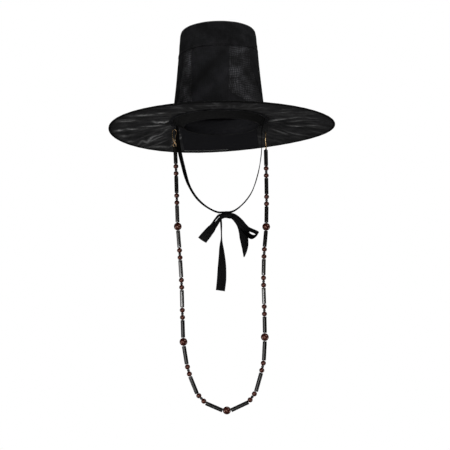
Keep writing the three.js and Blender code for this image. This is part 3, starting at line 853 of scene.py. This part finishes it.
band_section = [  # height, radius
    (0.6, BAND_FOOT_RADIUS - 0.4),
    (3, 63.2),
    (7, 68.0),
    (CROWN_FOOT, 72.1),
    (BAND_TOP, 71.6),
]
band_section = smooth_curve(band_section, 6)[::-1]
height, radius = band_section.T[..., None]
band_points = band_rings(height, radius + 0.12 * np.sin(height) * np.cos(23 * band_angles))
band_u = girth(BAND_GIRTH_RADIUS, BAND_COLUMNS)
headband = add_shell("inner_band", band_points, BAND_CLOTH, band_cloth, band_u, band_section[:, 0], True)
finish_as(headband, "headband")

# A sweatband is sewn to the lower edge and stands inside.
SWEATBAND_HEIGHT, SWEATBAND_RADIUS, SWEATBAND_CLOTH = 25.4, 62.3, 0.4
sweat_section = smooth_curve([(1.0, -0.9), (5, -0.3), (12, 0.9), (20, 2.3), (26, 3.5)], 5)[::-1]
sweat_heights = sweat_section[:, 0]
height, out = sweat_section.T[..., None]
sweat_points = band_rings(height, BAND_FOOT_RADIUS + out + 0.1 * np.cos(19 * band_angles + height))
sweatband = add_shell("sweatband", sweat_points, SWEATBAND_CLOTH, sweat_cloth, band_u, sweat_heights, True)
# Painted light and shade: the sweatband is painted lighter towards its top, where it lies in shade, and
# darker towards its bottom and its right side.
sweat_painted_light = np.interp(height, (1, 19), (-0.6, 0.5)) - 0.45 * np.cos(band_angles)
paint(sweatband, "painted_light", sweat_painted_light)
finish_as(sweatband)
cord_path = band_rings(0.75, BAND_FOOT_RADIUS - 0.7)
finish_as(add_joined("band_cord", [tube_parts(cord_path, 0.75, 10, True)], cord_cloth))

# The brim's gauze is turned down over the crown's foot and gathered there.
GATHER_COLUMNS, GATHER_CLOTH, GATHER_DEPTH, GATHER_GIRTH_RADIUS = 480, 0.4, 6, 77
GATHER_WAVES = (9, 13, 17, 24, 31)
t = np.linspace(0, 1, 7)[:, None]
gather_angles = circle(GATHER_COLUMNS)
random = np.random.default_rng(5)
waves = sum(random.uniform(0.3, 1) * np.cos(k * gather_angles + random.uniform(0, 6.3)) for k in GATHER_WAVES)
reach = t * (4.6 + 0.8 * waves) - 1.9 * (1 - t)
drop = 0.95 + 0.6 * t + 0.45 * t * np.cos(38 * gather_angles + 0.7 * waves)
height = BRIM_FOOT + (RIM_HEIGHT - BRIM_FOOT) * np.maximum(reach, 0) / (BRIM_EDGE - BRIM_HOLE) - drop
gather_points = round_points(CROWN_FOOT_X, gather_angles, BRIM_HOLE + reach, height)
gather_u, gather_v = girth(GATHER_GIRTH_RADIUS, GATHER_COLUMNS), t[:, 0] * GATHER_DEPTH
gather = add_shell("brim_gather", gather_points, GATHER_CLOTH, lap_gauze, gather_u, gather_v, closed=True)
finish_as(gather)


# The hooks: a long wire bight, wraps of finer wire, and an eye for the strand.
WIRE, WRAP_WIRE, EYE = 1.3, 0.8, 2.7
HOOK_BIGHT = [  # x, z from the eye's middle
    (-0.8, 5),
    (-2.4, 9),
    (-3.4, 16),
    (-3.3, 21),
    (-1.9, 24.2),
    (0, 25),
    (2.2, 24),
    (3.2, 20.5),
    (1.7, 15),
    (1.0, 10),
    (0.9, 7.4),
]
BIGHT_TOP = 25
HOOKS = [  # side, x, the eye's height, its turn, the height its cord is sewn at
    ("left", -75.2, -27.4, 0, 8.5),
    ("right", 69.4, -34.5, math.radians(80), 8.2),
]
CORD, CORD_SLACK = 1.4, 0.9


def placed(path, x, height, turn):
    """A path turned round the upright axis and set down at x, height."""
    c, s = math.cos(turn), math.sin(turn)
    px, py, pz = np.asarray(path).T
    return np.stack([x + c * px - s * py, s * px + c * py, height + pz], -1)


def twisted(path, diameter, turn_length):
    """Two strands laid round each other along a path."""
    frames = frames_of(tangents_of(path), (1, 0.3, 0.2))
    angles = lengths_along(path) / turn_length * 2 * np.pi
    out = np.array([math.cos(a) * side + math.sin(a) * front for a, (side, front) in zip(angles, frames)])
    return [path - out * diameter / 4, path + out * diameter / 4]


WRAP_RADIUS, WRAP_TURNS = 1.25, 4.5
wrap_share = np.linspace(0, 1, int(WRAP_TURNS * 16))
wraps = round_points(0, wrap_share * WRAP_TURNS * 2 * np.pi, WRAP_RADIUS, EYE - 0.1 + 3.3 * wrap_share)
eye = EYE * around(circle(28), np.array([1, 0, 0]), np.array([0, 0, 1]))
shank = [(-0.5, 0, EYE + 0.2), (-0.6, 0, EYE + 1.4)]
bight = np.vstack([shank, smooth_curve([(px, 0, pz) for px, pz in HOOK_BIGHT], 6)])
WIRES = [(bight, WIRE, 12, False), (wraps, WRAP_WIRE, 8, False), (eye, WIRE, 12, True)]
for side, x, height, turn, loop_top in HOOKS:
    parts = [tube_parts(placed(path, x, height, turn), wide / 2, *rest) for path, wide, *rest in WIRES]
    finish_as(add_joined("brass_hook_" + side, parts, hook_brass), "hook_" + side)

    half = WIRE / 2 + CORD / 2 + CORD_SLACK
    bottom, top = BIGHT_TOP - half, loop_top - height
    route = [(-half, top), (-half, bottom + half), (0, bottom), (half, bottom + half), (half, top)]
    route = placed(smooth_curve([(0, y, z) for y, z in route], 14), x, height, turn)
    strands = [tube_parts(strand, CORD * 0.29, 8) for strand in twisted(route, CORD, 3.2)]
    finish_as(add_joined("cord_loop_" + side, strands, cord_cloth), "sewn_loop_" + side)


# The strand: each bead is turned round the axis of its own solid, with a countersunk bore.
STRAND = "TsTsTLTsTsTsTLTsTsTLTsTsTLTsTsTsTLTsTsT"  # tubes, spacer groups and large round beads
BEAD_NODES = {"T": "tube_bead_{:02d}", "s": "spacer_beads_{:02d}", "L": "large_bead_{}"}
BORE, SINK, SINK_DEPTH = 0.75, 1.45, 0.6
TUBE_REACH = 0.2  # how far past its solid a tube reaches at each end
SMALL_BEAD, SEED_BEAD, SEED_LENGTH = 8.0, 4.4, 3.7


def strand_nodes():
    """Each bead's kind, its node's name and its node's points."""
    counts = dict.fromkeys(BEAD_NODES, 0)
    for kind in STRAND:
        counts[kind] += 1
        node = BEAD_NODES[kind].format(counts[kind])
        yield kind, node, np.array([v.co for v in frame["nodes"][node].data.vertices]) / MM


def bead_axes():
    """(kind, node, middle, axis, half length, radius) of every bead from the left hook to the right one."""
    beads = list(strand_nodes())
    middles = [(points.min(0) + points.max(0)) / 2 for _, _, points in beads]
    made = []
    for i, (kind, node, points) in enumerate(beads):
        step = middles[min(i + 1, len(beads) - 1)] - middles[max(i - 1, 0)]
        axis = step if kind == "L" else np.linalg.svd(points - points.mean(0), full_matrices=False)[2][0]
        axis = unit(axis if axis @ step > 0 else -axis)
        along = (points - middles[i]) @ axis
        radius = np.linalg.norm(points - middles[i] - along[:, None] * axis, axis=1).max()
        made.append((kind, node, middles[i], axis, along.max(), radius))
    return made


def tube_profile(half, radius, uneven):
    """A tube bead's outline: along the axis and out from it, from one mouth of the bore to the other."""
    half += TUBE_REACH
    ends = [(0.0, SINK), (0.02, radius - 0.5), (0.14, radius - 0.2), (0.4, radius - 0.05), (0.9, radius)]
    left = [(-half + reach, r) for reach, r in ends]
    middle = [(half * t, radius * (1 - 0.012 * uneven * (1 - t * t))) for t in (-0.7, -0.35, 0, 0.35, 0.7)]
    return left + middle + [(half - reach, r) for reach, r in ends[::-1]]


def round_profile(start, end, radius, steps=14):
    """A turned round bead between two places on the axis, a little flat at its mouths."""
    middle, half = (start + end) / 2, (end - start) / 2
    mouth = math.asin(SINK / radius)
    angles = np.linspace(mouth, math.pi - mouth, steps + 1)
    scale = half / math.cos(mouth)
    return [(middle - scale * math.cos(a), radius * math.sin(a)) for a in angles]


def turned_parts(profile, middle, axis, sides):
    """A turned body: its outline, then a countersunk bore back to where the outline began."""
    start, end = profile[0][0], profile[-1][0]
    outline = np.array(profile + [(end - SINK_DEPTH, BORE), (start + SINK_DEPTH, BORE)])
    side = unit(np.cross(axis, (0, 1, 0)))
    out = around(circle(sides), side, np.cross(axis, side))
    points = np.concatenate([middle + axis * along + radius * out for along, radius in outline])
    u = girth(outline[:, 1].max(), sides)
    v = np.append(outline[:, 0] - start, 0.0)
    return points, *ring_faces(len(outline), sides, True, u, v, flip=True)


# The tubes halfway down, between these heights, take a paler, glossier copy of the lacquer, a painted
# reflection; the ones below them take another, slightly paler copy.
PAINTED_SHEEN_LEFT, PAINTED_SHEEN_RIGHT, PAINTED_SHEEN_END = -120, -205, -300


def tube_finish(middle):
    if middle[2] > (PAINTED_SHEEN_LEFT if middle[0] < 0 else PAINTED_SHEEN_RIGHT):
        return tube_lacquer
    return tube_painted_sheen if middle[2] > PAINTED_SHEEN_END else tube_low_copy


def add_bead(number, kind, node, middle, axis, half, radius):
    materials, counts = [red_lacquer], None
    if kind == "T":
        parts = [turned_parts(tube_profile(half, radius, math.sin(number * 2.3)), middle, axis, 28)]
        materials = [tube_finish(middle)]
    elif kind == "L":
        parts = [turned_parts(round_profile(-half, half, radius, 20), middle, axis, 36)]
    else:
        seed, small = SEED_LENGTH / 2, SMALL_BEAD / 2
        spans = [(-half, -seed - 0.1, small), (-seed, seed, SEED_BEAD / 2), (seed + 0.1, half, small)]
        parts = [turned_parts(round_profile(*span), middle, axis, 24) for span in spans]
        materials = [red_lacquer, seed_lacquer]
        counts = np.repeat([0, 1, 0], [len(faces) for _, faces, _ in parts])
    points, faces, uvs = join_parts(parts)
    uvs = np.array(uvs) + [number * 37.0, number * 53.0]  # each bead has its own stretch of the grain
    piece = add_piece(node.replace("_bead", "_dressed"), points, faces, uvs, materials, counts)
    finish_as(piece, node)


beads = bead_axes()
for number, bead in enumerate(beads):
    add_bead(number, *bead)

# The thread runs through every bore and is tied round the hooks' eyes.
THREAD, THREAD_IN = 0.45, 0.4  # its radius, and how far inside each mouth it bends
thread_path = []
for _, _, middle, axis, half, _ in beads:
    thread_path += [middle - axis * (half - THREAD_IN), middle + axis * (half - THREAD_IN)]
tie = (WIRE / 2 + THREAD + 0.05) * around(circle(20), np.array([0, 1, 0]), np.array([0, 0, 1]))
threads = []
for (_, x, height, turn, _), first in zip(HOOKS, (thread_path[0], thread_path[-1])):
    end = np.array([x, 0, height - EYE])
    threads.append(tube_parts(placed(tie, x, height - EYE, turn), THREAD, 8, True))
    threads.append(tube_parts([end - (0, 0, WIRE / 2 + THREAD), first], THREAD, 8))
threads.append(tube_parts(thread_path, THREAD, 8))
finish_as(add_joined("strand_thread", threads, cord_cloth))


# The chin ribbon: flat strips along smooth paths, pleated, where their table says so, wherever they are drawn
# narrower than they are.
RIBBON, RIBBON_CLOTH = 15.0, 0.36
PLEATS, DEEPEST_PLEAT = 3, 0.95
RIBBON_STEPS, RIBBON_COLUMNS = 8, 31
KNOT = [  # x, y, z, width, lean of the width in the front view, its turn towards the depth
    (-5.6, 0, -144.4, 6.0, 68, 0),
    (-3.8, 0, -143.9, 7.4, 72, 0),
    (2.8, 0, -142.4, 7.6, 91, 0),
    (10.2, 0, -143.0, 8.8, 98, 0),
    (12.4, 0, -143.6, 8.8, 90, 0),
]
ARM_LEFT = [
    (-70.6, 10, 5.0, 15, 30, 78),
    (-70.9, 10, -6, 15, 0, 68),
    (-69.6, 9.5, -24, 15, 8, 66),
    (-66.0, 7.5, -43, 15, 12, 66),
    (-58.6, 4, -76, 15, 18, 68),
    (-52.2, 3, -94.8, 15, 24, 73),
    (-42.2, 1, -112.2, 15, 38, 74),
    (-29.8, 0, -124.9, 15, 46, 74),
    (-16.6, 0, -133.6, 15, 57, 74),
    (-7.2, 0, -137.3, 12, 75, 78),
    (0.9, 0, -137.6, 8, 85, 90),
    (5.0, 0, -139.6, 7, 90, 90),
]
ARM_RIGHT = [
    (65.7, 9, 4.2, 15, -30, 82),
    (63.7, 9, -6, 15, 0, 87),
    (63.2, 8, -20, 15, 0, 87),
    (62.6, 6, -38, 15, 0, 87),
    (57.9, 4, -68, 15, 0, 87),
    (47.8, 2, -100.4, 15, 0, 88),
    (38.4, 1, -116.2, 15, 0, 89),
    (27.0, 0, -128.4, 15, 0, 90),
    (15.6, 0, -135.8, 14, 0, 90),
    (8.6, 0, -137.5, 11, 0, 90),
    (1.5, 0, -137.6, 8, 0, 90),
    (-3.0, 0, -140.4, 6.5, 90, 90),
]
LOOP_LEFT = [
    (-3.2, -1.2, -144.8, 4.4, -50, 0),
    (-6.8, -2.4, -148.0, 4.6, -38, 0),
    (-9.8, -3.4, -153.0, 6.0, -32, 0),
    (-15.4, -3.4, -159.4, 8.8, -38, 0),
    (-19.8, -3.2, -163.8, 13, -41, 0),
    (-29.0, -2.2, -174.5, 15, -42, 0),
    (-33.6, -0.9, -179.7, 15, -36, 0),
    (-34.6, 0.4, -180.9, 15, -34, 0),
    (-33.6, 1.7, -179.7, 15, -36, 0),
    (-28.6, 2.8, -173.0, 14, -42, 0),
    (-20.8, 3.6, -161.0, 11, -44, 45),
    (-17.8, 3.8, -154.4, 9, -40, 74),
    (-12.6, 3.0, -147.0, 7, -45, 72),
    (-7.6, 2.0, -142.0, 5, -58, 50),
    (-3.4, 1.0, -141.0, 4.4, -60, 30),
]
LOOP_RIGHT = [
    (7.5, -0.8, -142.4, 8.0, 92, 0),
    (14.3, -1.6, -143.8, 9.0, 84, 0),
    (20.0, -3.0, -147.9, 9.8, 62, 4),
    (25.8, -3.6, -154.4, 11.6, 48, 12),
    (30.4, -4.0, -160.3, 13.4, 45, 28),
    (37.6, -4.0, -164.7, 15, 50, 55),
    (44.8, -3.0, -167.6, 15, 60, 60),
    (50.6, -1.6, -170.4, 15, 60, 60),
    (52.8, -0.4, -172.9, 15, 58, 54),
    (50.0, 0.8, -175.4, 15, 60, 50),
    (44.8, 2.2, -177.2, 15, 58, 50),
    (38.2, 3.4, -173.6, 15, 50, 55),
    (30.4, 3.8, -163.4, 13.4, 45, 25),
    (22.0, 2.8, -151.2, 9.4, 58, 8),
    (14.3, 1.6, -144.4, 7.6, 82, 0),
    (7.5, 0.8, -142.8, 6.6, 90, 0),
]
TAIL_MIDDLE = [
    (-3.6, 2.4, -144.4, 4.6, 0, 60),
    (-4.3, 4.4, -147.0, 5, 0, 72),
    (-4.1, 6.0, -156, 9, 0, 86),
    (-4.1, 6.0, -168, 13, 0, 89),
    (-3.8, 4.0, -180, 15, 0, 84),
    (-3.8, 2.0, -193, 15, 0, 64),
    (-3.8, 1.0, -208, 15, 2, 48),
    (-4.2, 0.5, -226, 15, 3, 27),
    (-5.2, 0.5, -243, 15, 4, 12),
    (-7.5, 0.5, -260.9, 15, 4, 20),
]
TAIL_RIGHT = [
    (7.5, 1.8, -143.2, 6, 90, 0),
    (14.0, 3.8, -145.0, 6, 82, 0),
    (23.4, 8.2, -154.4, 8.8, 48, 8),
    (28.6, 10.0, -164.6, 12.0, 27, 6),
    (31.2, 10.0, -177.0, 13.8, 12, 4),
    (32.4, 9.4, -189.0, 11.4, 10, 2),
    (31.9, 8.8, -199.4, 6.8, 8, 0),
    (30.6, 8.4, -208.0, 1.2, 6, 0),
]


def ribbon_frames(table, steps):
    """Middles, widths, the way across and the way out of a ribbon's face, row by row."""
    table = np.array(table, dtype=float)
    middles = smooth_curve(table[:, :3], steps)
    lean, turn = np.radians(table[:, 4:]).T
    across = np.stack([np.cos(turn) * np.cos(lean), np.sin(turn), np.cos(turn) * np.sin(lean)])
    at, rows = np.arange(len(middles)) / steps, np.arange(len(table))
    widths, *across = [np.interp(at, rows, column) for column in (table[:, 3], *across)]
    across = np.stack(across, -1)
    tangents = tangents_of(middles)
    across = unit(across - tangents * (across * tangents).sum(1, keepdims=True))
    return middles, widths, across, np.cross(tangents, across)


def add_ribbon(name, table, camber, held, rests_on, pleated):
    """A ribbon whose face is arched by camber, and, if pleated, gathered in pleats where it is drawn narrow.
    """
    middles, widths, across, out = ribbon_frames(table, RIBBON_STEPS)
    lengths, share = lengths_along(middles), np.linspace(-0.5, 0.5, RIBBON_COLUMNS)
    along, wide = lengths[:, None], widths[:, None]
    depth = camber * (0.5 - (2 * share) ** 2) + 0.12 * np.sin(2 * np.pi * (share + along / 41))
    if pleated:
        slope = 2 * np.sqrt(np.maximum(RIBBON / wide - 1, 0))
        deep = np.minimum(slope * wide / (2 * np.pi * PLEATS), DEEPEST_PLEAT)
        depth += deep * np.sin(2 * np.pi * PLEATS * share + 0.5 * np.sin(along * 0.05))
    points = middles[:, None] + (share * wide)[..., None] * across[:, None] + depth[..., None] * out[:, None]
    ribbon = add_shell(name, points, RIBBON_CLOTH, ribbon_satin, share * RIBBON, lengths)
    cut = float(((widths[1:] + widths[:-1]) / 2 * np.diff(lengths)).sum()) * MM * MM
    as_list(rests_on)
    return ribbon


RIBBONS = [  # node, table, how far it is arched across, how it is held, what holds it, whether it is pleated
    ("ribbon_arm_left", ARM_LEFT, 1.3, "hung", ["headband", "ribbon_knot"], True),
    ("ribbon_arm_right", ARM_RIGHT, 0.6, "hung", ["headband", "ribbon_knot"], True),
    ("bow_loop_left", LOOP_LEFT, 0.4, "folded", ["ribbon_knot"], True),
    ("bow_loop_right", LOOP_RIGHT, 0.4, "folded", ["ribbon_knot"], True),
    ("ribbon_tail_middle", TAIL_MIDDLE, 0.8, "hung", ["ribbon_knot"], True),
    ("ribbon_tail_right", TAIL_RIGHT, 0.4, "hung", ["ribbon_knot"], False),
]
for node, *ribbon in RIBBONS:
    finish_as(add_ribbon("satin_" + node, *ribbon), node)

# The knot: one turn of the ribbon, drawn tight, with pleats that run round it.
KNOT_DEPTH, KNOT_GIRTH, KNOT_TURN, KNOT_COLUMNS = 8.0, 26, 28, 72
middles, widths, across, _ = ribbon_frames(KNOT, 6)
knot_angles = circle(KNOT_COLUMNS)
share = np.linspace(0, 1, len(middles))[:, None]
pinch = np.minimum(1, 0.86 + 1.4 * np.minimum(share, 1 - share))
pleat = 1 + 0.055 * np.cos(6 * knot_angles + 4 * share) + 0.03 * np.cos(11 * knot_angles - 7 * share)
groove = 1 - 0.1 * np.exp(-((share - 0.42) / 0.07) ** 2)
half_width = (across * widths[:, None] / 2)[:, None]
out = around(knot_angles, half_width, np.array([0, KNOT_DEPTH / 2, 0]))
knot_points = middles[:, None] + (pinch * pleat * groove)[..., None] * out
knot_u, knot_v = np.linspace(0, KNOT_GIRTH, KNOT_COLUMNS + 1), lengths_along(middles)
knot = add_shell("satin_knot", knot_points, RIBBON_CLOTH, ribbon_satin, knot_u, knot_v, closed=True)
finish_as(knot, "ribbon_knot")

# Studio: soft boxes round the hat, with a small key lamp in front.
SOFT_BOXES = [  # name, place, width, height, power, what it faces
    ("right_high_box", (1.5, -1.1, 0.95), 1.5, 1.1, 9, (0, 0, 0)),
    ("left_low_box", (-1.5, -0.2, -1.0), 1.0, 0.8, 7, (0, 0, 0)),
    ("right_low_box", (1.5, 0.2, -1.0), 1.0, 0.8, 5, (0, 0, 0)),
    ("front_low_box", (0.0, -1.5, -1.05), 1.4, 0.6, 4.2, (0, 0, 0)),
    ("bead_box", (-1.13, -1.13, -0.32), 2.5, 0.56, 5.5, (0, 0, -0.3)),
    ("key_box", (-0.4, -2.2, -0.3), 0.7, 0.5, 5.2, (0, 0, -0.2)),
    ("back_high_box", (0.3, 0.9, 2.0), 1.8, 1.2, 14, (0, 0, 0)),
]
for name, place, width, height, power, aim in SOFT_BOXES:
    data = bpy.data.lights.new(name, "AREA")
    data.shape = "RECTANGLE"
    data.size, data.size_y, data.energy = width, height, power
    lamp = bpy.data.objects.new(name, data)
    lamp.location = place
    lamp.rotation_euler = (Vector(aim) - Vector(place)).to_track_quat("-Z", "Y").to_euler()
    lamp.visible_camera = False
    bpy.context.collection.objects.link(lamp)

# The room is white where the camera sees it, and lights the hat softly, more from the front.
FRONT_LIGHT, BACK_LIGHT = 0.06, 0.01
world = bpy.data.worlds.new("studio")
bpy.context.scene.world = world
room = Nodes(world, "Background")
backwards = room.add("SeparateXYZ", room.add("TexCoord").outputs["Generated"]).outputs["Y"]
seen = room.add("LightPath").outputs["Is Camera Ray"]
glow = room.math("MAXIMUM", room.span(backwards, -1.0, 1.0, FRONT_LIGHT, BACK_LIGHT), seen)
room.set(Color=(1, 1, 1, 1), Strength=glow)
bpy.context.scene.view_settings.view_transform = "Standard"

# The floor is pale too where the camera sees it, and runs out into the room's white.
FLOOR_HEIGHT, FLOOR_RADIUS, FLOOR_SIDES = -1.6, 8.0, 96
n = new_nodes("studio_floor")
away = n.add("VectorMath", n.here(), operation="LENGTH").outputs["Value"]
seen = n.add("LightPath").outputs["Is Camera Ray"]
n.set(
    Base_Color=n.mix(n.noise(n.here(), 3.0), grey(0.2), grey(0.24)),
    Roughness=0.9,
    Specular_IOR_Level=0.0,
    Emission_Color=(1, 1, 1, 1),
    Emission_Strength=n.times(seen, n.span(away, 1.5, 7.5, 0.62, 0.97)),
)
floor_mesh = bpy.data.meshes.new("floor")
floor_ring = round_points(0, circle(FLOOR_SIDES), FLOOR_RADIUS, FLOOR_HEIGHT)
floor_mesh.from_pydata(floor_ring.tolist(), [], [list(range(FLOOR_SIDES))])
floor_mesh.materials.append(n.owner)
floor = bpy.data.objects.new("floor", floor_mesh)
bpy.context.collection.objects.link(floor)
